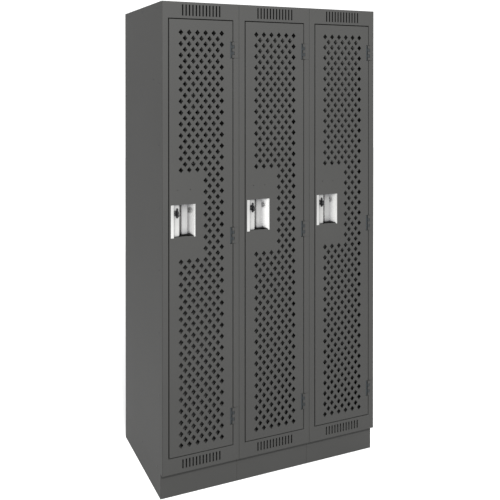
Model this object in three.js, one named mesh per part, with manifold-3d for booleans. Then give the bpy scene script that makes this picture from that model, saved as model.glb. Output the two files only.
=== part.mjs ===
// A bank of three single-tier steel lockers on a recessed closed base.
// Millimetres, +Z up, +Y to the back, -X the left side. The origin is on the floor under the middle
// of the bounding box.
import * as THREE from 'three';
import { mergeVertices } from 'three/addons/utils/BufferGeometryUtils.js';
import Module from 'manifold-3d';

const wasm = await Module();
wasm.setup();

// Driving dimensions.
const WIDTH = 914.4;
const DEPTH = 533.4;
const HEIGHT = 1828.8;
const UNITS = ['left', 'middle', 'right'];
const BASE_HEIGHT = 94;
const BASE_RECESS = 23;
const BODY_SHEET = 0.8;
const FRAME_SHEET = 1.5;
const GAP = 0.3;

// Door opening in each unit's frame.
const STILE = 23.8;
const OPENING_BOTTOM = 152.5;
const OPENING_TOP = 1767.5;
const FRAME_RETURN = 38;
const STOP_DEPTH = 30;
const STOP_LIP = 8;

// Doors: flush pans closed by a second sheet, with a wider gap on the latch side.
const LATCH_GAP = 3.5;
const HINGE_GAP = 2.5;
const END_GAP = 3;
const PAN_DEPTH = 28.6;
const BACK_DEPTH = 27;
const BACK_SHEET = 1;

// Hinges: five knuckles each, on the right of the door.
const KNUCKLE_RADIUS = 4.2;
const KNUCKLE_SIDES = 14;
const PIN_RADIUS = 2.2;
const BORE_RADIUS = 2.6;
const HINGE_HEIGHT = 60;
const HINGE_OFFSETS = { top: 695, middle: -8, bottom: -695 };
const AXIS_DEPTH = 0.4;
const NOTCH_SPARE = 1.5;
const NOTCH_DEPTH = AXIS_DEPTH + KNUCKLE_RADIUS + 0.8;
const DOOR_NOTCH = 11;
const FRAME_NOTCH = 4;

// Handle cup and lift hasp, measured from the door's latch edge and the cup's top.
const CUP_SHEET = 1;
const CUP_HEIGHT = 121;
const CUP_DROP = 682;
const CUP_INSET = 5.5;
const CUP_DEPTH = 22;
const CUP_PROFILE = [
  [0, 0], [12, 0], [13.5, 5], [34.5, 7], [47.5, CUP_DEPTH], [70.5, CUP_DEPTH], [91.5, 0], [95, 0],
];
const SLOT_WIDTH = 9.5;
const SLOT_HEIGHT = 38;
const SLOT_X = 26;
const SLOT_DROP = 31;
const EYE_REACH = 12;
const EYE_HEIGHT = 20;
const EYE_THICK = 3.6;
const EYE_DROP = 2.5;
const STRIKE_DROP = 6;
const STRIKE_NOSE_HALF = 10;

// Interior.
const SHELF_Z = 1554;
const HOOK_Z = 1488;
const HOOK_Y = 281;

const UNIT = WIDTH / 3;
const FRONT = -(DEPTH - EYE_REACH) / 2;
const DOOR_LEFT = -UNIT / 2 + STILE + LATCH_GAP;
const DOOR_RIGHT = UNIT / 2 - STILE - HINGE_GAP;
const DOOR_BOTTOM = OPENING_BOTTOM + END_GAP;
const DOOR_TOP = OPENING_TOP - END_GAP;
const DOOR_MIDDLE = (DOOR_BOTTOM + DOOR_TOP) / 2;
const AXIS_X = UNIT / 2 - STILE - HINGE_GAP / 2;
const CUP_LEFT = DOOR_LEFT + CUP_INSET;
const CUP_TOP = DOOR_TOP - CUP_DROP;
const CUP_BOTTOM = CUP_TOP - CUP_HEIGHT;
const SLOT_Z = CUP_TOP - SLOT_DROP;
const EYE_Z = SLOT_Z - EYE_DROP;
const STRIKE_Z = EYE_Z - STRIKE_DROP;

const enamel = { color: 0x5b5b59, roughness: 0.5, metalness: 0.1 };
const stainless = { color: 0xd6d7d5, roughness: 0.25, metalness: 1 };
const zinc = { color: 0xa9adb0, roughness: 0.4, metalness: 0.9 };
const blackOxide = { color: 0x2b2b2b, roughness: 0.45, metalness: 0.8 };

// Solids: three.js makes the shapes, manifold joins and cuts them.

function solid(geometry) {
  const bare = geometry.clone();
  bare.deleteAttribute('normal');
  bare.deleteAttribute('uv');
  const merged = mergeVertices(bare, 1e-4);
  const vertProperties = new Float32Array(merged.attributes.position.array);
  const triVerts = new Uint32Array(merged.index.array);
  return new wasm.Manifold(new wasm.Mesh({ numProp: 3, vertProperties, triVerts }));
}

function block(x0, x1, y0, y1, z0, z1) {
  const geometry = new THREE.BoxGeometry(x1 - x0, y1 - y0, z1 - z0);
  geometry.translate((x0 + x1) / 2, (y0 + y1) / 2, (z0 + z1) / 2);
  return solid(geometry);
}

function upright(shape, z0, z1) {
  const geometry = new THREE.ExtrudeGeometry(shape, { depth: z1 - z0, bevelEnabled: false });
  geometry.translate(0, 0, z0);
  return solid(geometry);
}

function cylinder(radius, z0, z1, x, y) {
  const geometry = new THREE.CylinderGeometry(radius, radius, z1 - z0, KNUCKLE_SIDES);
  geometry.rotateX(Math.PI / 2);
  geometry.translate(x, y, (z0 + z1) / 2);
  return solid(geometry);
}

function union(pieces) {
  return pieces.reduce((whole, piece) => whole.add(piece));
}

// A rectangular ring of sheet standing between y0 and y1.
function ring(outer, inner, y0, y1) {
  const hole = block(inner[0], inner[1], y0 - 1, y1 + 1, inner[2], inner[3]);
  return block(outer[0], outer[1], y0, y1, outer[2], outer[3]).subtract(hole);
}

function grown(rect, by) {
  return [rect[0] - by, rect[1] + by, rect[2] - by, rect[3] + by];
}

// The outline of a bent strip: the line through the points, and the same line set back by the sheet.
function stripOutline(points, thickness) {
  const set = points.map(([x, y], index) => {
    const before = points[Math.max(index - 1, 0)];
    const after = points[Math.min(index + 1, points.length - 1)];
    const into = new THREE.Vector2(x - before[0], y - before[1]);
    const out = new THREE.Vector2(after[0] - x, after[1] - y);
    const first = into.lengthSq() > 0 ? into.normalize() : out.clone().normalize();
    const last = out.lengthSq() > 0 ? out.normalize() : first.clone();
    const normal = new THREE.Vector2(-first.y - last.y, first.x + last.x).normalize();
    const reach = thickness / (normal.x * -last.y + normal.y * last.x);
    return new THREE.Vector2(x + normal.x * reach, y + normal.y * reach);
  });
  const front = points.map(([x, y]) => new THREE.Vector2(x, y));
  return new THREE.Shape([...front, ...set.reverse()]);
}

function mesh(name, piece, finish) {
  const { vertProperties, triVerts } = piece.getMesh();
  const geometry = new THREE.BufferGeometry();
  geometry.setAttribute('position', new THREE.BufferAttribute(new Float32Array(vertProperties), 3));
  geometry.setIndex(new THREE.BufferAttribute(new Uint32Array(triVerts), 1));
  geometry.computeVertexNormals();
  const made = new THREE.Mesh(geometry, new THREE.MeshStandardMaterial(finish));
  made.name = name;
  return made;
}

// Cabinet shell: outer sides, dividers and the top cover.

const PANEL_FRONT = FRAME_SHEET + GAP;
const REAR_FLANGE = 14;

function wallPanel(outward) {
  const skin = block(-BODY_SHEET / 2, BODY_SHEET / 2, PANEL_FRONT, DEPTH, BASE_HEIGHT, HEIGHT);
  const reach = [-BODY_SHEET / 2, -outward * REAR_FLANGE].sort((a, b) => a - b);
  const flange = block(reach[0], reach[1], DEPTH - BODY_SHEET, DEPTH, BASE_HEIGHT, HEIGHT);
  return skin.add(flange);
}

function shell() {
  const group = new THREE.Group();
  const edge = WIDTH / 2 - BODY_SHEET / 2;
  const left = mesh('left_side_panel', wallPanel(-1), enamel);
  left.position.x = -edge;
  const right = mesh('right_side_panel', wallPanel(1), enamel);
  right.position.x = edge;
  group.add(left, right);
  const dividerSkin = block(
    -BODY_SHEET / 2, BODY_SHEET / 2,
    PANEL_FRONT, DEPTH - BODY_SHEET * 2 - GAP * 2,
    BASE_HEIGHT, HEIGHT - BODY_SHEET - GAP,
  );
  for (const side of [-1, 1]) {
    const name = side < 0 ? 'left_divider_panel' : 'right_divider_panel';
    const divider = mesh(name, dividerSkin, enamel);
    divider.position.x = side * UNIT / 2;
    group.add(divider);
  }
  const inside = WIDTH / 2 - BODY_SHEET - GAP;
  const cover = block(-inside, inside, PANEL_FRONT, DEPTH - BODY_SHEET - GAP, HEIGHT - BODY_SHEET, HEIGHT);
  group.add(mesh('top_panel', cover, enamel));
  return group;
}

// Door frame of one unit: a welded ring of channel with louvre slots in both rails.

const SLOTS = 12;
const SLOT_PITCH = 13.3;
const VENT_WIDTH = 5;
const VENT_MARGIN = 10;
const LOWER_VENT_RISE = 5;

function ventSlots(z0, z1) {
  const slots = [];
  for (let index = 0; index < SLOTS; index += 1) {
    const x = (index - (SLOTS - 1) / 2) * SLOT_PITCH;
    slots.push(block(x - VENT_WIDTH / 2, x + VENT_WIDTH / 2, -1, FRAME_SHEET + 1, z0, z1));
  }
  return union(slots);
}

function hingeNotch(x0, x1) {
  const half = HINGE_HEIGHT / 2 + NOTCH_SPARE;
  return union(Object.values(HINGE_OFFSETS).map((offset) => {
    const z = DOOR_MIDDLE + offset;
    return block(x0, x1, -1, NOTCH_DEPTH, z - half, z + half);
  }));
}

// Strike: an angle welded to the frame's stop lip, just inside the latch arm's end.

const STRIKE_THICK = 2.5;
const STRIKE_FRONT = 11;
const STRIKE_FOOT_HALF = 14;

function strike() {
  const back = STOP_DEPTH + FRAME_SHEET / 2;
  const rear = STOP_DEPTH + FRAME_SHEET * 2;
  const left = DOOR_LEFT + 5;
  const right = left + STRIKE_THICK;
  const foot = [STRIKE_Z - STRIKE_FOOT_HALF, STRIKE_Z + STRIKE_FOOT_HALF];
  const nose = [STRIKE_Z - STRIKE_NOSE_HALF, STRIKE_Z + STRIKE_NOSE_HALF];
  return block(DOOR_LEFT - 2, right, back, rear, ...foot)
    .add(block(left, right, STRIKE_FRONT, rear, ...nose));
}

function doorFrame(index) {
  const atLeftEnd = index === 0 ? 0 : GAP;
  const atRightEnd = index === UNITS.length - 1 ? 0 : GAP;
  const face = [-UNIT / 2 + atLeftEnd, UNIT / 2 - atRightEnd, BASE_HEIGHT, HEIGHT];
  const opening = [-UNIT / 2 + STILE, UNIT / 2 - STILE, OPENING_BOTTOM, OPENING_TOP];
  const inset = BODY_SHEET + GAP;
  const channel = [-UNIT / 2 + inset, UNIT / 2 - inset, BASE_HEIGHT, HEIGHT - BODY_SHEET - GAP];
  const stop = STOP_DEPTH + FRAME_SHEET;
  const plate = ring(face, opening, 0, FRAME_SHEET);
  const outer = ring(channel, grown(channel, -FRAME_SHEET), 0, FRAME_RETURN);
  const inner = ring(grown(opening, FRAME_SHEET), opening, 0, stop);
  const lip = ring(grown(opening, FRAME_SHEET), grown(opening, -STOP_LIP), STOP_DEPTH, stop);
  return union([plate, outer, inner, lip, strike()])
    .subtract(ventSlots(OPENING_TOP + VENT_MARGIN, HEIGHT - VENT_MARGIN))
    .subtract(ventSlots(BASE_HEIGHT + VENT_MARGIN + LOWER_VENT_RISE, OPENING_BOTTOM - VENT_MARGIN))
    .subtract(hingeNotch(opening[1] - 1, opening[1] + FRAME_NOTCH));
}

// Door: a flat pan with the cup's cut-out, hinge notches and two number-plate holes.

const PLATE_HOLE_RADIUS = 1.6;
const PLATE_HOLES = [32.5, 81.5];
const PLATE_HOLE_DROP = 628;
const PLATE_HOLE_SIDES = 8;
const CUTOUT_LEFT = CUP_LEFT + 10.6;
const CUTOUT_RIGHT = CUP_LEFT + 93.4;
const CUTOUT_BOTTOM = CUP_BOTTOM + 3;

function plateHole(inset) {
  const geometry = new THREE.CylinderGeometry(
    PLATE_HOLE_RADIUS, PLATE_HOLE_RADIUS, 4 * FRAME_SHEET, PLATE_HOLE_SIDES,
  );
  geometry.translate(DOOR_LEFT + inset, 0, DOOR_TOP - PLATE_HOLE_DROP);
  return solid(geometry);
}

function door() {
  const outer = [DOOR_LEFT, DOOR_RIGHT, DOOR_BOTTOM, DOOR_TOP];
  const inner = grown(outer, -FRAME_SHEET);
  return block(outer[0], outer[1], 0, PAN_DEPTH, outer[2], outer[3])
    .subtract(block(inner[0], inner[1], FRAME_SHEET, PAN_DEPTH + 1, inner[2], inner[3]))
    .subtract(block(CUTOUT_LEFT, CUTOUT_RIGHT, -1, FRAME_SHEET + 1, CUTOUT_BOTTOM, CUP_TOP))
    .subtract(hingeNotch(DOOR_RIGHT - DOOR_NOTCH, DOOR_RIGHT + 1))
    .subtract(union(PLATE_HOLES.map(plateHole)));
}

// Door back: a flat sheet inside the pan's edges, notched where the strike enters the door.

const STRIKE_SLOT = 12;
const STRIKE_SPARE = 4;

function doorBack() {
  const rim = FRAME_SHEET + GAP;
  const half = STRIKE_NOSE_HALF + STRIKE_SPARE;
  const slot = [STRIKE_Z - half, STRIKE_Z + half];
  const rear = BACK_DEPTH + BACK_SHEET;
  return block(DOOR_LEFT + rim, DOOR_RIGHT - rim, BACK_DEPTH, rear, DOOR_BOTTOM + rim, DOOR_TOP - rim)
    .subtract(block(DOOR_LEFT, DOOR_LEFT + STRIKE_SLOT, BACK_DEPTH - 1, rear + 1, ...slot));
}

// Handle cup: a brake-formed strip whose flange and far lip lie on the door.

function handleCup() {
  const face = -GAP - CUP_SHEET;
  const points = CUP_PROFILE.map(([x, y]) => [CUP_LEFT + x, face + y]);
  const strip = upright(stripOutline(points, CUP_SHEET), CUP_BOTTOM, CUP_TOP - GAP);
  const half = SLOT_WIDTH / 2;
  const straight = SLOT_HEIGHT / 2 - half;
  const outline = new THREE.Shape();
  outline.moveTo(half, -straight);
  outline.lineTo(half, straight);
  outline.absarc(0, straight, half, 0, Math.PI, false);
  outline.lineTo(-half, -straight);
  outline.absarc(0, -straight, half, Math.PI, Math.PI * 2, false);
  const punch = { depth: CUP_DEPTH / 2 + CUP_SHEET * 2, bevelEnabled: false, curveSegments: 5 };
  const slot = new THREE.ExtrudeGeometry(outline, punch);
  slot.rotateX(Math.PI / 2);
  slot.translate(CUP_LEFT + SLOT_X, CUP_DEPTH / 2, SLOT_Z);
  const trim = block(
    CUTOUT_LEFT - 2 * GAP, CUTOUT_RIGHT + 2 * GAP, -GAP / 2, CUP_DEPTH + CUP_SHEET,
    CUP_BOTTOM - 1, CUTOUT_BOTTOM + GAP,
  );
  return strip.subtract(solid(slot)).subtract(trim);
}

// Lift hasp: a slide plate behind the cup, a padlock eye through the slot and a latch arm.

const SLIDE_DEPTH = 8.8;
const SLIDE_THICK = 2;
const SLIDE_LEFT = CUP_LEFT + 17;
const SLIDE_RIGHT = CUP_LEFT + 33;
const SLIDE_BELOW = 32;
const SLIDE_ABOVE = 30;
const ARM_LEFT = DOOR_LEFT + 9;
const ARM_BELOW = 14;
const ARM_ABOVE = 2;
const EYE_CORNER = 5;
const EYE_HOLE_RADIUS = 4;
const EYE_TIP = 6.5;

function liftHasp() {
  const back = SLIDE_DEPTH + SLIDE_THICK;
  const plate = block(SLIDE_LEFT, SLIDE_RIGHT, SLIDE_DEPTH, back, EYE_Z - SLIDE_BELOW, EYE_Z + SLIDE_ABOVE);
  const arm = block(ARM_LEFT, SLIDE_LEFT + 1, SLIDE_DEPTH, back, EYE_Z - ARM_BELOW, EYE_Z + ARM_ABOVE);
  const outline = new THREE.Shape();
  const round = EYE_CORNER - EYE_REACH;
  const low = -EYE_HEIGHT / 2;
  const high = EYE_HEIGHT / 2;
  outline.moveTo(back, low);
  outline.lineTo(back, high);
  outline.lineTo(round, high);
  outline.absarc(round, high - EYE_CORNER, EYE_CORNER, Math.PI / 2, Math.PI, false);
  outline.lineTo(-EYE_REACH, low + EYE_CORNER);
  outline.absarc(round, low + EYE_CORNER, EYE_CORNER, Math.PI, Math.PI * 1.5, false);
  outline.lineTo(back, low);
  const hole = new THREE.Path();
  hole.absarc(EYE_TIP - EYE_REACH, 0, EYE_HOLE_RADIUS, 0, Math.PI * 2, true);
  outline.holes.push(hole);
  const eye = new THREE.ExtrudeGeometry(outline, { depth: EYE_THICK, bevelEnabled: false, curveSegments: 4 });
  const turn = new THREE.Matrix4().makeBasis(
    new THREE.Vector3(0, 1, 0), new THREE.Vector3(0, 0, 1), new THREE.Vector3(1, 0, 0),
  );
  eye.applyMatrix4(turn);
  eye.translate(CUP_LEFT + SLOT_X - EYE_THICK / 2, 0, EYE_Z);
  return union([plate, arm, solid(eye)]);
}

// Hinges: three knuckles and the pin belong to the frame leaf, two knuckles to the door leaf.

const LEAF_THICK = 1.2;
const FRAME_LEAF_REACH = 22;
const DOOR_LEAF_REACH = 36;
const LEAF_CLEAR = KNUCKLE_RADIUS + 1.2;
const KNUCKLES = 5;
const KNUCKLE_GAP = 0.4;
const PIN_HEAD = 1;

function knuckleSpan(index) {
  const pitch = HINGE_HEIGHT / KNUCKLES;
  const low = index * pitch - HINGE_HEIGHT / 2;
  return [low + KNUCKLE_GAP, low + pitch - KNUCKLE_GAP];
}

function frameLeaf() {
  const half = HINGE_HEIGHT / 2;
  const back = -AXIS_DEPTH - GAP;
  const front = back - LEAF_THICK;
  const pieces = [
    cylinder(PIN_RADIUS, -half - PIN_HEAD, half + PIN_HEAD, 0, 0),
    block(LEAF_CLEAR, FRAME_LEAF_REACH, front, back, -half, half),
  ];
  for (const index of [0, 2, 4]) {
    const [z0, z1] = knuckleSpan(index);
    pieces.push(cylinder(KNUCKLE_RADIUS, z0, z1, 0, 0));
    pieces.push(block(1, LEAF_CLEAR + 1, front, back, z0, z1));
  }
  return union(pieces);
}

function doorLeaf() {
  const half = HINGE_HEIGHT / 2;
  const front = FRAME_SHEET + GAP - AXIS_DEPTH;
  const back = front + LEAF_THICK;
  const edge = -HINGE_GAP / 2 - DOOR_NOTCH - GAP;
  const pieces = [block(-DOOR_LEAF_REACH, edge, front, back, -half, half)];
  for (const index of [1, 3]) {
    const [z0, z1] = knuckleSpan(index);
    pieces.push(cylinder(KNUCKLE_RADIUS, z0, z1, 0, 0));
    pieces.push(block(edge - 1, -1, front, back, z0, z1));
  }
  return union(pieces).subtract(cylinder(BORE_RADIUS, -half - 2, half + 2, 0, 0));
}

// Interior pieces of one unit.

const SHELF_LIP = 15;
const WALL_CLEAR = BODY_SHEET / 2 + GAP;
const BACK_Y = DEPTH - BODY_SHEET;

function traySheet(x0, x1, y0, y1, z, drop) {
  const t = BODY_SHEET;
  const hollow = block(x0 + t, x1 - t, y0 + t, y1 - t, z - drop - 1, z - t);
  return block(x0, x1, y0, y1, z - drop, z).subtract(hollow);
}

const WIRE_RADIUS = 2.6;
const HOOK_PLATE = [1.6, 14, 32];

// A coat hook on the right wall: a plate with a prong that drops and turns up again.
function hook(side) {
  const [thick, width, height] = HOOK_PLATE;
  const plate = block(-thick, 0, -width / 2, width / 2, -height / 2, height / 2);
  const path = new THREE.CatmullRomCurve3([
    new THREE.Vector3(-3.2, 0, 8), new THREE.Vector3(-9, 0, 3), new THREE.Vector3(-12, 0, -8),
    new THREE.Vector3(-18, 0, -14), new THREE.Vector3(-25, 0, -9), new THREE.Vector3(-28, 0, 2),
  ]);
  const section = new THREE.Shape();
  section.absarc(0, 0, WIRE_RADIUS, 0, Math.PI * 2, false);
  const prong = new THREE.ExtrudeGeometry(section, { steps: 12, extrudePath: path, curveSegments: 4 });
  const made = plate.add(solid(prong));
  return side < 0 ? made.mirror([1, 0, 0]) : made;
}

// Closed base under the unit: a front channel with its flanges turned to the back.
const BASE_FLANGE = 25;

function baseFront() {
  const x0 = -UNIT / 2 + GAP;
  const x1 = UNIT / 2 - GAP;
  const web = block(x0, x1, BASE_RECESS, BASE_RECESS + FRAME_SHEET, 0, BASE_HEIGHT - GAP);
  const foot = block(x0, x1, BASE_RECESS, BASE_RECESS + BASE_FLANGE, 0, FRAME_SHEET);
  const head = block(
    x0, x1, BASE_RECESS, BASE_RECESS + BASE_FLANGE, BASE_HEIGHT - GAP - FRAME_SHEET, BASE_HEIGHT - GAP,
  );
  return union([web, foot, head]);
}

function baseEnd(side) {
  const outer = WIDTH / 2;
  const front = BASE_RECESS + BASE_FLANGE + GAP;
  const back = DEPTH - BASE_FLANGE - GAP;
  const high = BASE_HEIGHT - GAP;
  const made = union([
    block(outer - FRAME_SHEET, outer, BASE_RECESS, DEPTH, 0, high),
    block(outer - BASE_FLANGE, outer, front, back, 0, FRAME_SHEET),
    block(outer - BASE_FLANGE, outer, front, back, high - FRAME_SHEET, high),
  ]);
  return side < 0 ? made.mirror([1, 0, 0]) : made;
}

function baseRear() {
  const half = WIDTH / 2 - FRAME_SHEET - GAP;
  const high = BASE_HEIGHT - GAP;
  return union([
    block(-half, half, DEPTH - FRAME_SHEET, DEPTH, 0, high),
    block(-half, half, DEPTH - BASE_FLANGE, DEPTH, 0, FRAME_SHEET),
    block(-half, half, DEPTH - BASE_FLANGE, DEPTH, high - FRAME_SHEET, high),
  ]);
}

function trimmedBaseFront(index) {
  const left = index === 0 ? -UNIT / 2 + FRAME_SHEET + GAP : -UNIT / 2;
  const right = index === UNITS.length - 1 ? UNIT / 2 - FRAME_SHEET - GAP : UNIT / 2;
  return baseFront().intersect(block(left, right, 0, DEPTH, -1, BASE_HEIGHT));
}

function unit(name, index) {
  const group = new THREE.Group();
  group.position.x = (index - 1) * UNIT;
  const wallLeft = -UNIT / 2 + (index === 0 ? BODY_SHEET + GAP : WALL_CLEAR);
  const wallRight = UNIT / 2 - (index === UNITS.length - 1 ? BODY_SHEET + GAP : WALL_CLEAR);
  const backLeft = index === 0 ? wallLeft : -UNIT / 2 + GAP;
  const backRight = index === UNITS.length - 1 ? wallRight : UNIT / 2 - GAP;

  group.add(mesh(`${name}_door_frame`, doorFrame(index), enamel));
  const backFront = BACK_Y - BODY_SHEET - GAP;
  const backTop = HEIGHT - BODY_SHEET - GAP;
  const backSheet = block(backLeft, backRight, backFront, BACK_Y - GAP, BASE_HEIGHT, backTop);
  group.add(mesh(`${name}_back_panel`, backSheet, enamel));
  const rear = backFront - GAP;
  const clear = FRAME_RETURN + GAP;
  const floorZ = BASE_HEIGHT + SHELF_LIP;
  const floorTray = traySheet(wallLeft, wallRight, clear, rear, floorZ, SHELF_LIP);
  group.add(mesh(`${name}_floor_panel`, floorTray, enamel));
  const shelfTray = traySheet(wallLeft, wallRight, clear, rear, SHELF_Z, SHELF_LIP);
  group.add(mesh(`${name}_hat_shelf`, shelfTray, enamel));
  group.add(mesh(`${name}_base_front`, trimmedBaseFront(index), enamel));
  for (const side of [-1, 1]) {
    const piece = mesh(`${name}_coat_hook_${side < 0 ? 'left' : 'right'}`, hook(side), zinc);
    piece.position.set(side < 0 ? wallLeft : wallRight, HOOK_Y, HOOK_Z);
    group.add(piece);
  }
  group.add(mesh(`${name}_door`, door(), enamel));
  group.add(mesh(`${name}_door_back`, doorBack(), enamel));
  group.add(mesh(`${name}_handle_cup`, handleCup(), stainless));
  group.add(mesh(`${name}_lift_hasp`, liftHasp(), blackOxide));
  for (const [place, offset] of Object.entries(HINGE_OFFSETS)) {
    const hinge = new THREE.Group();
    hinge.position.set(AXIS_X, AXIS_DEPTH, DOOR_MIDDLE + offset);
    hinge.add(mesh(`${name}_${place}_hinge_frame_leaf`, frameLeaf(), enamel));
    hinge.add(mesh(`${name}_${place}_hinge_door_leaf`, doorLeaf(), enamel));
    group.add(hinge);
  }
  return group;
}

const lockers = new THREE.Group();
lockers.position.y = FRONT;
lockers.add(shell());
lockers.add(mesh('left_base_end', baseEnd(-1), enamel));
lockers.add(mesh('right_base_end', baseEnd(1), enamel));
lockers.add(mesh('base_rear', baseRear(), enamel));
UNITS.forEach((name, index) => lockers.add(unit(name, index)));

export default lockers;
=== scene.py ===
import math

import bmesh
import bpy
from mathutils import Matrix, Vector


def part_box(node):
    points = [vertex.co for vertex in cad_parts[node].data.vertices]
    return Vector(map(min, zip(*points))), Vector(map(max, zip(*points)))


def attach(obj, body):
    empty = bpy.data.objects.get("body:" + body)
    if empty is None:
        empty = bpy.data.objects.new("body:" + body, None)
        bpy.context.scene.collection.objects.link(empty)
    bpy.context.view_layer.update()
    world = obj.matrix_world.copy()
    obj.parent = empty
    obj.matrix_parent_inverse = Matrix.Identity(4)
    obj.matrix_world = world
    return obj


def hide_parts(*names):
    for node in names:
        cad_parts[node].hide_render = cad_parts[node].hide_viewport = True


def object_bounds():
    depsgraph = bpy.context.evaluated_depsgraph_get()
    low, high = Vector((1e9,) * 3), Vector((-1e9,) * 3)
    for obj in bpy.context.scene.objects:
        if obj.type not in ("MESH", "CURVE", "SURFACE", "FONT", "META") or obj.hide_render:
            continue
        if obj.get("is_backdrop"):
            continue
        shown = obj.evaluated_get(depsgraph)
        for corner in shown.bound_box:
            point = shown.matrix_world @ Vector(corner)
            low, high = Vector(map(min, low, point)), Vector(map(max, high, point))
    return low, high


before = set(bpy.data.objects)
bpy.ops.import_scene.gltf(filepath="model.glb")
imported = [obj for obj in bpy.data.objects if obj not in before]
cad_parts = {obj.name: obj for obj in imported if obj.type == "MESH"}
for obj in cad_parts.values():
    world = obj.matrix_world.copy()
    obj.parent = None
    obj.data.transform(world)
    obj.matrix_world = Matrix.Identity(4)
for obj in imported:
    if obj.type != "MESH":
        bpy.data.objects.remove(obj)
cad_low, cad_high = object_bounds()
lockers = ("left", "middle", "right")
hinge_levels = ("top", "middle", "bottom")
mm = 0.001


# Cabinet sheets: the outer sides, dividers, backs, top, floors and hat shelves are cold-rolled
# steel sheet, sheared and folded, then painted and baked before they are riveted together.

sheet_edge = 0.25 * mm
sheet_nodes = ["left_side_panel", "right_side_panel", "left_divider_panel", "right_divider_panel"]
sheet_nodes.append("top_panel")
for locker in lockers:
    sheet_nodes += [f"{locker}_back_panel", f"{locker}_floor_panel", f"{locker}_hat_shelf"]


def linear(code):
    """The linear RGBA of an sRGB hex colour."""
    channels = [int(code[place:place + 2], 16) / 255 for place in (1, 3, 5)]
    curve = [c / 12.92 if c <= 0.04045 else ((c + 0.055) / 1.055) ** 2.4 for c in channels]
    return (*curve, 1.0)


def add(tree, kind, feeds, **settings):
    """One node with its settings; feeds fills its sockets with values or with other nodes' outputs."""
    node = tree.nodes.new(kind)
    for name, value in settings.items():
        setattr(node, name, value)
    for name, value in feeds.items():
        if isinstance(value, bpy.types.NodeSocket):
            tree.links.new(value, node.inputs[name])
        else:
            node.inputs[name].default_value = value
    return node


def new_finish(name):
    finish = bpy.data.materials.new(name)
    finish.use_nodes = True
    finish.node_tree.nodes.clear()
    return finish, finish.node_tree


# Baked enamel: a charcoal alkyd enamel, sprayed and stoved. It gives a satin grey with a fine
# orange peel and slow, faint changes of tone from one spray pass to the next.
enamel, tree = new_finish("charcoal_baked_enamel")
peel_size = 2.2 * mm
pass_size = 300 * mm
enamel_light = linear("#2F2F2E")
enamel_dark = linear("#2B2B2A")
place = add(tree, "ShaderNodeTexCoord", {})
passes = add(tree, "ShaderNodeTexNoise", {
    "Vector": place.outputs["Object"], "Scale": 1 / pass_size, "Detail": 3.0, "Roughness": 0.55})
tone = add(tree, "ShaderNodeMix", {
    "Factor": passes.outputs["Fac"], "A": enamel_dark, "B": enamel_light}, data_type="RGBA")
peel = add(tree, "ShaderNodeTexNoise", {
    "Vector": place.outputs["Object"], "Scale": 1 / peel_size, "Detail": 2.0, "Roughness": 0.5})
sheen = add(tree, "ShaderNodeMapRange", {
    "Value": peel.outputs["Fac"], "From Min": 0.3, "From Max": 0.7, "To Min": 0.6, "To Max": 0.7})
relief = add(tree, "ShaderNodeBump", {
    "Height": peel.outputs["Fac"], "Strength": 0.35, "Distance": 0.05 * mm})
shader = add(tree, "ShaderNodeBsdfPrincipled", {
    "Base Color": tone.outputs["Result"], "Roughness": sheen.outputs["Result"],
    "Normal": relief.outputs["Normal"], "IOR": 1.5, "Specular IOR Level": 0.2})
add(tree, "ShaderNodeOutputMaterial", {"Surface": shader.outputs["BSDF"]})


def break_edges(piece, width, angle=40):
    """Takes the sharpness off edges that turn by more than the angle."""
    bevel = piece.modifiers.new("broken_edge", "BEVEL")
    bevel.width = width
    bevel.segments = 2
    bevel.limit_method = "ANGLE"
    bevel.angle_limit = math.radians(angle)


def dress(node, finish, edge):
    """Gives a CAD node its finish, and breaks its sharp edges as a folded or sheared sheet's are."""
    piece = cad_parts[node]
    piece.material_slots[0].material = finish
    weld = piece.modifiers.new("weld", "WELD")
    weld.merge_threshold = 0.01 * mm
    break_edges(piece, edge)


for node in sheet_nodes:
    dress(node, enamel, sheet_edge)


# Closed base: front, end and rear channels of the frame gauge, folded with feet and heads turned
# in, set back under the door frames and painted with the cabinet.

base_edge = 0.5 * mm
base_nodes = ["left_base_end", "right_base_end", "base_rear"]
base_nodes += [f"{locker}_base_front" for locker in lockers]
for node in base_nodes:
    dress(node, enamel, base_edge)


# Door frames: each is one welded ring of 16 gauge channel, bent round on the outside and at the
# doorway, with a stop lip behind the door and twelve punched louvre slots in each rail.

gauge = 1.5 * mm
frame_bend = 1.9 * mm
frame_depth = 38 * mm
stop_front = 30 * mm
stop_lip = 8 * mm
lip_bend = 1.0 * mm
side_clearance = 1.1 * mm
stile_width = 23.8 * mm
slot_count = 12
slot_pitch = 13.3 * mm
slot_width = 5.0 * mm
slot_margin = 10 * mm
lower_slot_rise = 5 * mm
doorway_gap = 3 * mm
bend_steps = 6
crisp_angle = 30
overcut = 1 * mm
notch_spare = 1.5 * mm
notch_depth = 5.4 * mm
frame_notch = 4 * mm


def arc(centre, radius, start, end, steps):
    """Points of a round bend, in degrees from the first axis towards the second."""
    turns = [math.radians(start + (end - start) * step / steps) for step in range(steps + 1)]
    return [(centre[0] + radius * math.cos(turn), centre[1] + radius * math.sin(turn)) for turn in turns]


def flange(radius, depth, lip_front=None, lip_width=0.0):
    """The section of a folded edge, as (outward, back) points from the face's front to its rear."""
    outer = arc((0, radius), radius, -90, 0, bend_steps)
    inner = arc((0, radius), radius - gauge, 0, -90, bend_steps)
    if lip_front is None:
        return [*outer, (radius, depth), (radius - gauge, depth), *inner]
    turn = (radius + lip_bend, lip_front - lip_bend)
    before = arc(turn, lip_bend, 180, 90, bend_steps)
    behind = arc(turn, lip_bend + gauge, 90, 180, bend_steps)
    tip = radius + lip_width
    return [*outer, *before, (tip, lip_front), (tip, lip_front + gauge), *behind, *inner]


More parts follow.
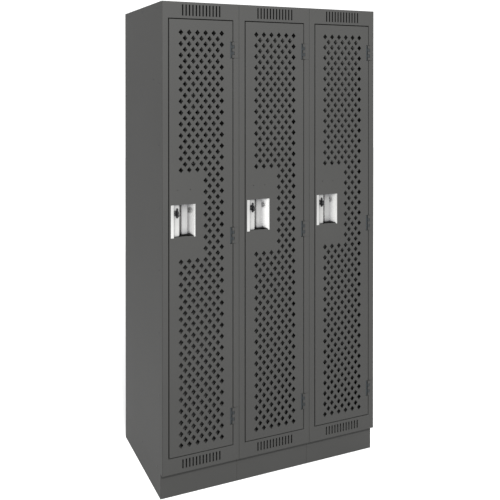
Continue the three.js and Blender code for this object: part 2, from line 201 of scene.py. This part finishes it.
def pressed_sheet(name, face, edge, doorway=None, inner_edge=None, holes=(), front=0.0, thick=gauge):
    """A flat face in X and Z with folded edges and straight punched holes, as one closed mesh."""
    made = bmesh.new()

    def ring(rect, grow, back):
        left, right, low, high = rect
        corners = (
            (left - grow, low - grow), (right + grow, low - grow),
            (right + grow, high + grow), (left - grow, high + grow),
        )
        return [made.verts.new((x, front + back, z)) for x, z in corners]

    def sides(one, other):
        for index in range(len(one)):
            after = (index + 1) % len(one)
            made.faces.new((one[index], one[after], other[after], other[index]))

    # The folds are swept first: each runs from a ring at the face's front to one at its rear.
    loops = []
    for rect, section, way in ((face, edge, 1), (doorway, inner_edge, -1)):
        if rect is None or section is None:
            continue
        radius = section[bend_steps][0]
        rings = [ring(rect, way * (outward - radius), back) for outward, back in section]
        for one, other in zip(rings, rings[1:]):
            sides(one, other)
        loops.append((rings[0], rings[-1]))
    if edge is None:
        left, right, low, high = face
        holes = [*holes, [(left, low), (right, low), (right, high), (left, high)]]
    for outline in holes:
        before = [made.verts.new((x, front, z)) for x, z in outline]
        behind = [made.verts.new((x, front + thick, z)) for x, z in outline]
        sides(before, behind)
        loops.append((before, behind))
    # The flat front is filled between the loops and then repeated at the rear.
    rims = []
    for before, behind in loops:
        for index, vert in enumerate(before):
            after = before[(index + 1) % len(before)]
            rims.append(made.edges.get((vert, after)))
    rear_of = {vert: rear for before, behind in loops for vert, rear in zip(before, behind)}
    filled = bmesh.ops.triangle_fill(made, edges=rims, use_beauty=True, normal=(0, -1, 0))
    skins = [item for item in filled["geom"] if isinstance(item, bmesh.types.BMFace)]
    for skin in skins:
        made.faces.new([rear_of[vert] for vert in reversed(skin.verts)])
    bmesh.ops.recalc_face_normals(made, faces=made.faces)
    return settled_mesh(name, made)


def settled_mesh(name, made):
    """A mesh shaded smooth over its bends and crisp where a bend meets a flat or a sheared edge."""
    flat = 0.9999
    for edge in made.edges:
        if len(edge.link_faces) != 2:
            edge.smooth = False
            continue
        normals = [face.normal for face in edge.link_faces]
        square = [max(abs(component) for component in normal) > flat for normal in normals]
        gentle = normals[0].dot(normals[1]) > math.cos(math.radians(crisp_angle))
        edge.smooth = square[0] == square[1] and gentle
    for face in made.faces:
        face.smooth = True
    mesh = bpy.data.meshes.new(name)
    made.to_mesh(mesh)
    made.free()
    return mesh


def stand(name, mesh, finish, body, slot, *replaced):
    """Puts a finished mesh in the scene as a piece that rides on a body."""
    mesh.materials.clear()
    mesh.materials.append(finish)
    piece = bpy.data.objects.new(name, mesh)
    bpy.context.scene.collection.objects.link(piece)
    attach(piece, body)
    if replaced:
        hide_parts(*replaced)
    return piece


def block(rect, low, high):
    """A closed box mesh over an X and Z rectangle, for cutting."""
    made = bmesh.new()
    bmesh.ops.create_cube(made, size=1.0)
    left, right, bottom, top = rect
    size = Matrix.Diagonal((right - left, high - low, top - bottom, 1))
    middle = Matrix.Translation(((left + right) / 2, (low + high) / 2, (bottom + top) / 2))
    bmesh.ops.transform(made, matrix=middle @ size, verts=made.verts)
    return made


def cut(mesh, cutters, operation="DIFFERENCE"):
    """The mesh with each cutter taken out of it, or added to it with the operation UNION."""
    scene = bpy.context.scene
    body = bpy.data.objects.new("blank", mesh)
    scene.collection.objects.link(body)
    tools = []
    for cutter in cutters:
        tool = bpy.data.objects.new("punch", bpy.data.meshes.new("punch"))
        cutter.to_mesh(tool.data)
        cutter.free()
        scene.collection.objects.link(tool)
        punch = body.modifiers.new("punch", "BOOLEAN")
        punch.operation = operation
        punch.solver = "EXACT"
        punch.object = tool
        tools.append(tool)
    graph = bpy.context.evaluated_depsgraph_get()
    made = bmesh.new()
    made.from_object(body, graph)
    for spent in (body, *tools):
        bpy.data.objects.remove(spent)
    bmesh.ops.remove_doubles(made, verts=made.verts, dist=0.001 * mm)
    return settled_mesh(mesh.name, made)


def slots(middle, low, high):
    """The outlines of one rail's punched slots."""
    outlines = []
    for index in range(slot_count):
        x = middle + (index - (slot_count - 1) / 2) * slot_pitch
        left, right = x - slot_width / 2, x + slot_width / 2
        outlines.append([(left, low), (right, low), (right, high), (left, high)])
    return outlines


def hinge_notches(locker, left, right, front):
    """Cutters for the notches that one door's hinges sit in."""
    notches = []
    for level in hinge_levels:
        leaf_low, leaf_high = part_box(f"{locker}_{level}_hinge_door_leaf")
        rect = (left, right, leaf_low.z - notch_spare, leaf_high.z + notch_spare)
        notches.append(block(rect, front - 2 * overcut, front + notch_depth))
    return notches


for locker in lockers:
    low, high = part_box(f"{locker}_door_frame")
    unit = (cad_high.x - cad_low.x) / len(lockers)
    middle = (lockers.index(locker) - 1) * unit
    door_low, door_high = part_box(f"{locker}_door")
    doorway_low, doorway_high = door_low.z - doorway_gap, door_high.z + doorway_gap
    jamb = middle + unit / 2 - stile_width
    doorway = (middle - unit / 2 + stile_width, jamb, doorway_low, doorway_high)
    left = low.x + (side_clearance if locker == "left" else 0)
    right = high.x - (side_clearance if locker == "right" else 0)
    holes = slots(middle, doorway_high + slot_margin, high.z - slot_margin)
    holes += slots(middle, low.z + slot_margin + lower_slot_rise, doorway_low - slot_margin)
    name = f"{locker}_frame_channel"
    mesh = pressed_sheet(
        name, (left, right, low.z, high.z), flange(frame_bend, frame_depth),
        doorway, flange(frame_bend, frame_depth, stop_front, stop_lip), holes, low.y)
    notches = hinge_notches(locker, jamb - overcut, jamb + frame_notch, low.y)
    stand(name, cut(mesh, notches), enamel, "cabinet", "enamel", f"{locker}_door_frame")


# Strikes: one steel angle each, welded to the back of the stop lip and painted with the frame.
# Its nose stands forward into the door, just past the end of the hasp's plate and clear of it.

strike_sheet = 2.5 * mm
strike_inset = 7.5 * mm
strike_front = 11 * mm
strike_drop = 5 * mm
strike_stand = 0.6 * strike_sheet
strike_edge = 0.3 * mm
foot_left = -2 * mm
foot_half = 14 * mm
nose_half = 10 * mm


def upright(section, low, high):
    """A closed section in X and Y, stood up between two heights."""
    made = bmesh.new()
    below = [made.verts.new((x, y, low)) for x, y in section]
    above = [made.verts.new((x, y, high)) for x, y in section]
    for index in range(len(section)):
        after = (index + 1) % len(section)
        made.faces.new((below[index], below[after], above[after], above[index]))
    made.faces.new(below[::-1])
    made.faces.new(above)
    bmesh.ops.recalc_face_normals(made, faces=made.faces)
    return made


def strike_height(locker):
    low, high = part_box(f"{locker}_lift_hasp")
    return (low.z + high.z) / 2 - strike_drop


for locker in lockers:
    door_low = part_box(f"{locker}_door")[0]
    height = strike_height(locker)
    right = door_low.x + strike_inset
    left = door_low.x + foot_left
    front = door_low.y + strike_front
    rear = door_low.y + stop_front + gauge + strike_stand
    inside = (right - strike_sheet, rear - strike_sheet)
    section = [(left, rear), (right, rear), (right, front), (inside[0], front), inside, (left, inside[1])]
    name = f"{locker}_strike_angle"
    angle = settled_mesh(name, upright(section, height - foot_half, height + foot_half))
    beyond = foot_half + overcut
    corners = []
    for low, high in ((height - beyond, height - nose_half), (height + nose_half, height + beyond)):
        rect = (left - overcut, right + overcut, low, high)
        corners.append(block(rect, front - overcut, inside[1] - overcut))
    piece = stand(name, cut(angle, corners), enamel, "cabinet", "enamel")
    break_edges(piece, strike_edge)


# Doors: 16 gauge pans, folded all round, punched with diamonds above and below a blank field for
# the handle. Each has a cut-out for the cup and two small holes for a number plate.

door_depth = 28.6 * mm
door_bend = 1.9 * mm
diamond_width = 19 * mm
diamond_height = 22.5 * mm
diamond_corner = 0.05
column_pitch = 32.3 * mm
row_pitch = 21.15 * mm
first_row = 48 * mm
rows = 73
columns = 6
blank_rows = range(25, 40)
blank_columns = 3
door_notch = 11 * mm
cut_out_left = 10.6 * mm
cut_out_right = 93.4 * mm
cut_out_rise = 3 * mm
cut_out_spare = 0.3 * mm
plate_hole = 1.6 * mm
plate_hole_sides = 16
plate_hole_insets = (32.5 * mm, 81.5 * mm)
plate_hole_drop = 628 * mm


def diamond(x, z):
    """A punched diamond with its four corners rounded off."""
    across, up = diamond_width / 2, diamond_height / 2
    tips = [(across, 0), (0, up), (-across, 0), (0, -up)]
    outline = []
    for index, tip in enumerate(tips):
        for other in (tips[index - 1], tips[(index + 1) % 4]):
            outline.append((
                x + tip[0] + (other[0] - tip[0]) * diamond_corner,
                z + tip[1] + (other[1] - tip[1]) * diamond_corner))
    return outline


def perforations(middle, top):
    """Diamonds in staggered rows of six and five, left out round the handle."""
    outlines = []
    for row in range(rows):
        short = row % 2
        count = columns - short
        first = blank_columns if row in blank_rows else 0
        for column in range(first, count):
            x = middle + (column - (count - 1) / 2) * column_pitch
            outlines.append(diamond(x, top - first_row - row * row_pitch))
    return outlines


for locker in lockers:
    low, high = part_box(f"{locker}_door")
    cup_low, cup_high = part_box(f"{locker}_handle_cup")
    holes = perforations((low.x + high.x) / 2, high.z)
    left, right = cup_low.x + cut_out_left, cup_low.x + cut_out_right
    bottom, top = cup_low.z + cut_out_rise, cup_high.z + cut_out_spare
    holes.append([(left, bottom), (right, bottom), (right, top), (left, top)])
    for inset in plate_hole_insets:
        centre = (low.x + inset, high.z - plate_hole_drop)
        holes.append(arc(centre, plate_hole, 0, 360, plate_hole_sides)[:-1])
    name = f"{locker}_door_pan"
    mesh = pressed_sheet(
        name, (low.x, high.x, low.z, high.z), flange(door_bend, door_depth),
        holes=holes, front=low.y)
    notches = hinge_notches(locker, high.x - door_notch, high.x + overcut, low.y)
    stand(name, cut(mesh, notches), enamel, f"{locker}_door_leaf", "enamel", f"{locker}_door")


# Door backs: a second sheet, punched like the front, closes each pan from behind and stiffens it.
# Its free edge is notched at mid height, where the strike reaches into the door.

back_sheet = 1.0 * mm
back_depth = 27 * mm
strike_entry = 12 * mm
entry_spare = 4 * mm
rim = gauge + 0.3 * mm
for locker in lockers:
    low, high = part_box(f"{locker}_door")
    face = (low.x + rim, high.x - rim, low.z + rim, high.z - rim)
    holes = perforations((low.x + high.x) / 2, high.z)
    name = f"{locker}_door_back_sheet"
    sheet = pressed_sheet(name, face, None, holes=holes, front=low.y + back_depth, thick=back_sheet)
    height = strike_height(locker)
    reach = nose_half + entry_spare
    entry = (low.x, low.x + strike_entry, height - reach, height + reach)
    rear = low.y + back_depth
    mesh = cut(sheet, [block(entry, rear - overcut, rear + back_sheet + overcut)])
    stand(name, mesh, enamel, f"{locker}_door_leaf", "enamel", f"{locker}_door_back")


# Handle cups: one strip of stainless steel each, brake-formed into a finger recess, with a slot
# for the hasp. The flange and the far lip lie on the door, and its foot is trimmed behind them.

cup_sheet = 1.0 * mm
tight_bend = 1.6 * mm
wide_bend = 7 * mm
cup_profile = [(0, 0), (12, 0), (13.5, 5), (34.5, 7), (47.5, 22), (70.5, 22), (91.5, 0), (95, 0)]
cup_bends = [tight_bend, tight_bend, wide_bend, wide_bend, tight_bend, tight_bend]
bend_straight = 0.4 * mm
cup_edge = 0.2 * mm
trim_spare = 0.6 * mm
trim_height = 3.3 * mm
trim_front = 1.15 * mm
trim_rear = 30 * mm
hasp_slot_width = 9.5 * mm
hasp_slot_height = 38 * mm
hasp_slot_x = 26 * mm
hasp_slot_drop = 31 * mm
hasp_slot_reach = 14 * mm
hasp_slot_steps = 10

# Stainless steel, number 4 brushed finish with the grain upright, so highlights spread sideways.
# Real grain lines are under 0.1 mm apart; they are drawn 0.8 mm apart to show. Deep in the recess
# the colour is darkened by painted shade, which follows ambient occlusion.
stainless, tree = new_finish("brushed_stainless_steel")
grain_size = 0.8 * mm
grain_run = 60 * mm
recess_size = 40 * mm
place = add(tree, "ShaderNodeTexCoord", {})
stretch = add(tree, "ShaderNodeMapping", {
    "Vector": place.outputs["Object"], "Scale": (1 / grain_size, 1 / grain_size, 1 / grain_run)})
grain = add(tree, "ShaderNodeTexNoise", {
    "Vector": stretch.outputs["Vector"], "Scale": 1.0, "Detail": 3.0})
bright = add(tree, "ShaderNodeMix", {
    "Factor": grain.outputs["Fac"], "A": linear("#A6A6A5"), "B": linear("#B6B6B4")}, data_type="RGBA")
# Painted shade: ambient occlusion darkens the steel's colour towards a dull grey deep in the recess.
open_air = add(tree, "ShaderNodeAmbientOcclusion", {"Distance": recess_size}, samples=8)
painted_recess_shade = add(tree, "ShaderNodeMapRange", {
    "Value": open_air.outputs["AO"], "From Min": 0.6, "From Max": 1.0, "To Min": 1.0, "To Max": 0.0})
steel = add(tree, "ShaderNodeMix", {
    "Factor": painted_recess_shade.outputs["Result"], "A": bright.outputs["Result"],
    "B": linear("#5A5A5C")}, data_type="RGBA")
gloss = add(tree, "ShaderNodeMapRange", {
    "Value": grain.outputs["Fac"], "From Min": 0.3, "From Max": 0.7, "To Min": 0.15, "To Max": 0.25})
relief = add(tree, "ShaderNodeBump", {
    "Height": grain.outputs["Fac"], "Strength": 0.15, "Distance": 0.02 * mm})
shader = add(tree, "ShaderNodeBsdfPrincipled", {
    "Base Color": steel.outputs["Result"], "Metallic": 1.0,
    "Roughness": gloss.outputs["Result"], "Normal": relief.outputs["Normal"]})
add(tree, "ShaderNodeOutputMaterial", {"Surface": shader.outputs["BSDF"]})


def rounded(points, bends, steps=8):
    """A line through the points with each corner bent to its radius, and a short straight beside it."""
    line = [Vector(points[0])]
    for before, corner, after, radius in zip(points, points[1:], points[2:], bends):
        corner, before, after = Vector(corner), Vector(before), Vector(after)
        into, out = (corner - before).normalized(), (after - corner).normalized()
        turn = into.angle(out)
        reach = radius * math.tan(turn / 2)
        side = 1 if into.cross(out) > 0 else -1
        centre = corner - into * reach + Vector((-into.y, into.x)) * radius * side
        start = corner - into * reach - centre
        line.append(corner - into * (reach + bend_straight))
        for step in range(steps + 1):
            swing = Matrix.Rotation(side * turn * step / steps, 2)
            line.append(centre + swing @ start)
        line.append(corner + out * (reach + bend_straight))
    return [*line, Vector(points[-1])]


def set_back(line, distance):
    """The line moved to its left by the sheet's thickness."""
    moved = []
    for index, point in enumerate(line):
        before = line[max(index - 1, 0)]
        after = line[min(index + 1, len(line) - 1)]
        way = (after - before).normalized()
        moved.append(point + Vector((-way.y, way.x)) * distance)
    return moved


def slot_punch(x, z, depth_low, depth_high):
    """A round-ended slot cutter that stands upright and runs from front to back."""
    half = hasp_slot_width / 2
    reach = hasp_slot_height / 2 - half
    outline = arc((x, z + reach), half, 0, 180, hasp_slot_steps)
    outline += arc((x, z - reach), half, 180, 360, hasp_slot_steps)
    made = bmesh.new()
    near = [made.verts.new((px, depth_low, pz)) for px, pz in outline]
    far = [made.verts.new((px, depth_high, pz)) for px, pz in outline]
    for index in range(len(outline)):
        after = (index + 1) % len(outline)
        made.faces.new((near[index], near[after], far[after], far[index]))
    made.faces.new(near)
    made.faces.new(far)
    bmesh.ops.recalc_face_normals(made, faces=made.faces)
    return made


for locker in lockers:
    low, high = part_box(f"{locker}_handle_cup")
    line = rounded([(low.x + x * mm, low.y + y * mm) for x, y in cup_profile], cup_bends)
    section = line + set_back(line, cup_sheet)[::-1]
    made = bmesh.new()
    below = [made.verts.new((x, y, low.z)) for x, y in section]
    above = [made.verts.new((x, y, high.z)) for x, y in section]
    count = len(line)
    for index in range(len(section)):
        after = (index + 1) % len(section)
        made.faces.new((below[index], below[after], above[after], above[index]))
    for level in (below, above):
        for index in range(count - 1):
            made.faces.new((level[index], level[index + 1], level[-index - 2], level[-index - 1]))
    bmesh.ops.recalc_face_normals(made, faces=made.faces)
    name = f"{locker}_cup_strip"
    mesh = settled_mesh(name, made)
    slot_x, slot_z = low.x + hasp_slot_x, high.z - hasp_slot_drop
    punches = [slot_punch(slot_x, slot_z, low.y - overcut, low.y + hasp_slot_reach)]
    left, right = low.x + cut_out_left - trim_spare, low.x + cut_out_right + trim_spare
    foot = (left, right, low.z - overcut, low.z + trim_height)
    punches.append(block(foot, low.y + trim_front, low.y + trim_rear))
    piece = stand(
        name, cut(mesh, punches), stainless, f"{locker}_door_leaf", "stainless",
        f"{locker}_handle_cup")
    break_edges(piece, cup_edge, 50)


# Lift hasps: a slide plate with a padlock eye that comes out through the cup's slot, in steel
# blackened in hot oxide salts, which leaves it near black with a dull oily sheen.

hasp_edge = 0.5 * mm
rub_size = 4 * mm
black_oxide, tree = new_finish("black_oxide_steel")
place = add(tree, "ShaderNodeTexCoord", {})
rub = add(tree, "ShaderNodeTexNoise", {
    "Vector": place.outputs["Object"], "Scale": 1 / rub_size, "Detail": 4.0})
shade = add(tree, "ShaderNodeMix", {
    "Factor": rub.outputs["Fac"], "A": linear("#1B1B1C"), "B": linear("#323234")}, data_type="RGBA")
gloss = add(tree, "ShaderNodeMapRange", {"Value": rub.outputs["Fac"], "To Min": 0.3, "To Max": 0.5})
shader = add(tree, "ShaderNodeBsdfPrincipled", {
    "Base Color": shade.outputs["Result"], "Metallic": 0.6, "Roughness": gloss.outputs["Result"]})
add(tree, "ShaderNodeOutputMaterial", {"Surface": shader.outputs["BSDF"]})
for locker in lockers:
    dress(f"{locker}_lift_hasp", black_oxide, hasp_edge)


# Hinges: five-knuckle steel butts, each leaf rolled round the pin. The frame leaf is welded on the
# stile and painted with it; the door leaf lies behind the door's edge, coloured near black as painted
# shade.

hinge_height = 60 * mm
knuckle_radius = 4.2 * mm
knuckle_gap = 0.4 * mm
knuckle_sides = 40
knuckles = 5
pin_radius = 2.2 * mm
pin_head = 1 * mm
pin_sides = 24
axis_depth = 0.4 * mm
leaf_clear = 5.4 * mm
leaf_edge = 0.2 * mm
barrel_overlap = 1 * mm
frame_leaf = (22 * mm, -1.9 * mm, -0.7 * mm)
door_leaf = (-36 * mm, 1.4 * mm, 2.6 * mm)


def rolled(leaf):
    """The section of a leaf's edge, from the plate to the barrel and once round the pin."""
    end, near, far = leaf
    reach = leaf_clear + barrel_overlap
    turn_near, turn_far = (math.degrees(math.asin(y / knuckle_radius)) for y in (near, far))
    if end > 0:
        barrel = arc((0, 0), knuckle_radius, turn_far, turn_near + 360, knuckle_sides)
        return [*barrel, (reach, near), (reach, far)]
    barrel = arc((0, 0), knuckle_radius, 180 - turn_near, 540 - turn_far, knuckle_sides)
    return [*barrel, (-reach, far), (-reach, near)]


def hinge_leaf(name, leaf, own_knuckles, pinned):
    """One leaf, with its barrel on the Z axis."""
    end, near, far = leaf
    half = hinge_height / 2
    clear = leaf_clear if end > 0 else -leaf_clear
    plate = block((min(clear, end), max(clear, end), -half, half), near, far)
    pitch = hinge_height / knuckles
    parts = []
    for index in own_knuckles:
        foot = index * pitch - half
        parts.append(upright(rolled(leaf), foot + knuckle_gap, foot + pitch - knuckle_gap))
    if pinned:
        pin = arc((0, 0), pin_radius, 0, 360, pin_sides)[:-1]
        parts.append(upright(pin, -half - pin_head, half + pin_head))
    blank = bpy.data.meshes.new(name)
    plate.to_mesh(blank)
    plate.free()
    return cut(blank, parts, "UNION")


# Painted shade: the door leaf is given a dull, even dark blue-grey that stands in for the shade in its
# notch.
shaded_leaf_finish, tree = new_finish("painted_shade_leaf")
leaf_mottle_size = 1.5 * mm
place = add(tree, "ShaderNodeTexCoord", {})
leaf_mottle = add(tree, "ShaderNodeTexNoise", {
    "Vector": place.outputs["Object"], "Scale": 1 / leaf_mottle_size, "Detail": 3.0})
shade = add(tree, "ShaderNodeMix", {
    "Factor": leaf_mottle.outputs["Fac"], "A": linear("#1B1E20"), "B": linear("#222628")}, data_type="RGBA")
shader = add(tree, "ShaderNodeBsdfPrincipled", {
    "Base Color": shade.outputs["Result"], "Roughness": 0.7, "IOR": 1.5, "Specular IOR Level": 0.25})
add(tree, "ShaderNodeOutputMaterial", {"Surface": shader.outputs["BSDF"]})

frame_leaf_mesh = hinge_leaf("frame_leaf", frame_leaf, (0, 2, 4), True)
door_leaf_mesh = hinge_leaf("door_leaf", door_leaf, (1, 3), False)
for locker in lockers:
    door_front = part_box(f"{locker}_door")[0].y
    for level in hinge_levels:
        low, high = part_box(f"{locker}_{level}_hinge_frame_leaf")
        axis = Vector((high.x - frame_leaf[0], door_front + axis_depth, (low.z + high.z) / 2))
        for side, shape, finish, body in (
                ("frame", frame_leaf_mesh, enamel, "cabinet"),
                ("door", door_leaf_mesh, shaded_leaf_finish, f"{locker}_door_leaf")):
            name = f"{locker}_{level}_{side}_hinge_leaf"
            mesh = shape.copy()
            mesh.transform(Matrix.Translation(axis))
            piece = stand(name, mesh, finish, body, "enamel", f"{locker}_{level}_hinge_{side}_leaf")
            break_edges(piece, leaf_edge, 50)


# Rivets: steel, with near-black dome heads in the hasps' finish, set along the sides and the back. They
# hold the sheets to the frames, the shelves, the hook plates and the back uprights.

rivet_radius = 3.2 * mm
rivet_rise = 1.6 * mm
rivet_rings = 4
rivet_sectors = 20
column_depth = 40 * mm
column_first = 378 * mm
column_step = 230 * mm
column_count = 6
low_row = 103 * mm
top_row = 1812 * mm
row_depths = (66 * mm, 268 * mm, 465 * mm)
shelf_row = 1543 * mm
shelf_depths = (115 * mm, 471 * mm)
hook_depth = 281 * mm
hook_rows = (1478 * mm, 1497 * mm)
seam_inset = 12 * mm
seam_count = 8


def rivet_heads(name, places, outward):
    """Dome heads at places on a wall, as one mesh; outward is the wall's normal."""
    made = bmesh.new()
    turn = Vector((0, 0, 1)).rotation_difference(Vector(outward)).to_matrix().to_4x4()
    for place in places:
        levels = []
        for ring in range(rivet_rings):
            tilt = math.radians(90 * ring / rivet_rings)
            points = arc((0, 0), rivet_radius * math.cos(tilt), 0, 360, rivet_sectors)[:-1]
            height = rivet_rise * math.sin(tilt)
            levels.append([made.verts.new((x, y, height)) for x, y in points])
        top = made.verts.new((0, 0, rivet_rise))
        fresh = [top, *(vert for level in levels for vert in level)]
        for one, other in zip(levels, levels[1:]):
            for index in range(rivet_sectors):
                after = (index + 1) % rivet_sectors
                made.faces.new((one[index], one[after], other[after], other[index]))
        for index in range(rivet_sectors):
            after = (index + 1) % rivet_sectors
            made.faces.new((levels[-1][index], levels[-1][after], top))
        made.faces.new(levels[0][::-1])
        bmesh.ops.transform(made, matrix=Matrix.Translation(place) @ turn, verts=fresh)
    return settled_mesh(name, made)


frame_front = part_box("left_door_frame")[0].y
side_places = [(column_depth, column_first + step * column_step) for step in range(column_count)]
side_places += [(depth, row) for row in (low_row, top_row) for depth in row_depths]
side_places += [(depth, shelf_row) for depth in shelf_depths]
side_places += [(hook_depth, row) for row in hook_rows]
for side, outward in (("left", -1), ("right", 1)):
    low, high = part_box(f"{side}_side_panel")
    wall = low.x if outward < 0 else high.x
    places = [(wall, frame_front + depth, z) for depth, z in side_places]
    name = f"{side}_side_rivets"
    heads = rivet_heads(name, places, (outward, 0, 0))
    stand(name, heads, black_oxide, "cabinet", "black_oxide")
for locker in lockers:
    low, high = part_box(f"{locker}_back_panel")
    pitch = (high.z - low.z - 2 * seam_inset) / (seam_count - 1)
    heights = [low.z + seam_inset + step * pitch for step in range(seam_count)]
    places = [(x, high.y, z) for x in (low.x + seam_inset, high.x - seam_inset) for z in heights]
    name = f"{locker}_back_rivets"
    stand(name, rivet_heads(name, places, (0, 1, 0)), black_oxide, "cabinet", "black_oxide")


# Coat hooks: a 5 mm wire prong upset into a steel plate, zinc plated and passivated, which gives a
# pale blue-grey with a faint cloudy spangle. Two rivets from outside hold each plate on its wall.

zinc, tree = new_finish("zinc_plated_steel")
cloud_size = 6 * mm
place = add(tree, "ShaderNodeTexCoord", {})
cloud = add(tree, "ShaderNodeTexNoise", {
    "Vector": place.outputs["Object"], "Scale": 1 / cloud_size, "Detail": 3.0})
shade = add(tree, "ShaderNodeMix", {
    "Factor": cloud.outputs["Fac"], "A": linear("#9AA0A4"), "B": linear("#B8BDC0")}, data_type="RGBA")
gloss = add(tree, "ShaderNodeMapRange", {"Value": cloud.outputs["Fac"], "To Min": 0.32, "To Max": 0.5})
shader = add(tree, "ShaderNodeBsdfPrincipled", {
    "Base Color": shade.outputs["Result"], "Metallic": 1.0, "Roughness": gloss.outputs["Result"]})
add(tree, "ShaderNodeOutputMaterial", {"Surface": shader.outputs["BSDF"]})

wire_radius = 2.6 * mm
wire_sectors = 16
wire_steps = 8
end_tilts = (30, 55, 75)
hook_edge = 0.3 * mm
plate_half_height = 16 * mm
plate_half_width = 7 * mm
plate_thick = 1.6 * mm
prong = [(-1, 8.8), (-3.2, 8), (-9, 3), (-12, -8), (-18, -14), (-25, -9), (-28, 2), (-28.6, 4)]


def through(points, steps):
    """A smooth line through the points, without the first and the last, with its directions."""
    line = []
    for index in range(1, len(points) - 2):
        p0, p1, p2, p3 = (Vector(point) * mm for point in points[index - 1:index + 3])
        for step in range(steps):
            t = step / steps
            spot = 0.5 * (2 * p1 + (p2 - p0) * t + (2 * p0 - 5 * p1 + 4 * p2 - p3) * t ** 2
                          + (3 * p1 - p0 - 3 * p2 + p3) * t ** 3)
            way = 0.5 * ((p2 - p0) + 2 * (2 * p0 - 5 * p1 + 4 * p2 - p3) * t
                         + 3 * (3 * p1 - p0 - 3 * p2 + p3) * t ** 2)
            line.append((spot, way.normalized()))
    return line


def wire(points):
    """A round wire along a line in X and Z, with a domed end."""
    made = bmesh.new()
    line = [(spot, way, wire_radius) for spot, way in through(points, wire_steps)]
    spot, way, _ = line[-1]
    for tilt in end_tilts:
        turn = math.radians(tilt)
        line.append((spot + way * wire_radius * math.sin(turn), way, wire_radius * math.cos(turn)))
    rings = []
    for spot, way, radius in line:
        ring = []
        for across, along_y in arc((0, 0), radius, 0, 360, wire_sectors)[:-1]:
            ring.append(made.verts.new((spot.x - way.y * across, along_y, spot.y + way.x * across)))
        rings.append(ring)
    for one, other in zip(rings, rings[1:]):
        for index in range(wire_sectors):
            after = (index + 1) % wire_sectors
            made.faces.new((one[index], one[after], other[after], other[index]))
    made.faces.new(rings[0][::-1])
    made.faces.new(rings[-1])
    bmesh.ops.recalc_face_normals(made, faces=made.faces)
    return made


plate = block((-plate_thick, 0, -plate_half_height, plate_half_height), -plate_half_width, plate_half_width)
hook_blank = bpy.data.meshes.new("coat_hook")
plate.to_mesh(hook_blank)
plate.free()
hook_mesh = cut(hook_blank, [wire(prong)], "UNION")
for locker in lockers:
    for side, mirror in (("left", -1), ("right", 1)):
        low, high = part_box(f"{locker}_coat_hook_{side}")
        wall_x = low.x if side == "left" else high.x
        wall = Vector((wall_x, (low.y + high.y) / 2, high.z - plate_half_height))
        mesh = hook_mesh.copy()
        mesh.transform(Matrix.Translation(wall) @ Matrix.Diagonal((mirror, 1, 1, 1)))
        if mirror < 0:
            mesh.flip_normals()
        name = f"{locker}_{side}_coat_hook"
        piece = stand(name, mesh, zinc, "cabinet", "zinc_plate", f"{locker}_coat_hook_{side}")
        break_edges(piece, hook_edge)


# Studio: a pale floor, a white room and soft lights, with the camera at standing height to the
# left of the bank.

camera_tip = 0.344
camera_turn = 24.221


def studio_light(name, place, aim, width, height, power):
    """A soft rectangular light, turned to face its aim."""
    lamp = bpy.data.lights.new(name, "AREA")
    lamp.shape = "RECTANGLE"
    lamp.size = width
    lamp.size_y = height
    lamp.energy = power
    holder = bpy.data.objects.new(name, lamp)
    holder.location = place
    holder.rotation_euler = (Vector(aim) - Vector(place)).to_track_quat("-Z", "Y").to_euler()
    bpy.context.scene.collection.objects.link(holder)


floor_half = 12.0
floor_made = bmesh.new()
bmesh.ops.create_grid(floor_made, x_segments=1, y_segments=1, size=floor_half)
floor_mesh = bpy.data.meshes.new("studio_floor")
floor_made.to_mesh(floor_mesh)
floor_made.free()
studio_floor = bpy.data.objects.new("studio_floor", floor_mesh)
bpy.context.scene.collection.objects.link(studio_floor)
studio_floor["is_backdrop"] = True
paper, tree = new_finish("white_studio_paper")
shader = add(tree, "ShaderNodeBsdfPrincipled", {"Base Color": linear("#E8E8E8"), "Roughness": 0.9})
add(tree, "ShaderNodeOutputMaterial", {"Surface": shader.outputs["BSDF"]})
floor_mesh.materials.append(paper)

room = bpy.data.worlds.new("white_room")
room.use_nodes = True
room.node_tree.nodes.clear()
glow = add(room.node_tree, "ShaderNodeBackground", {"Color": linear("#FFFFFF"), "Strength": 1.25})
add(room.node_tree, "ShaderNodeOutputWorld", {"Surface": glow.outputs["Background"]})
bpy.context.scene.world = room
bpy.context.scene.view_settings.view_transform = "Standard"

centre = (cad_low + cad_high) / 2
studio_light("key_light", (-1.4, -5.6, 4.8), centre, 1.2, 0.6, 860)
studio_light("left_strip", (-3.4, -1.7, 0.8), (0.0, -0.3, 1.0), 0.5, 1.4, 4)

lens = bpy.data.cameras.new("camera")
lens.lens = 50.92
lens.shift_y = -0.319
camera = bpy.data.objects.new("camera", lens)
camera.location = (-1.2189, -2.7323, 1.5179)
camera.rotation_euler = (math.radians(90 - camera_tip), 0, math.radians(-camera_turn))
bpy.context.scene.collection.objects.link(camera)
bpy.context.scene.camera = camera

low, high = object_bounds()
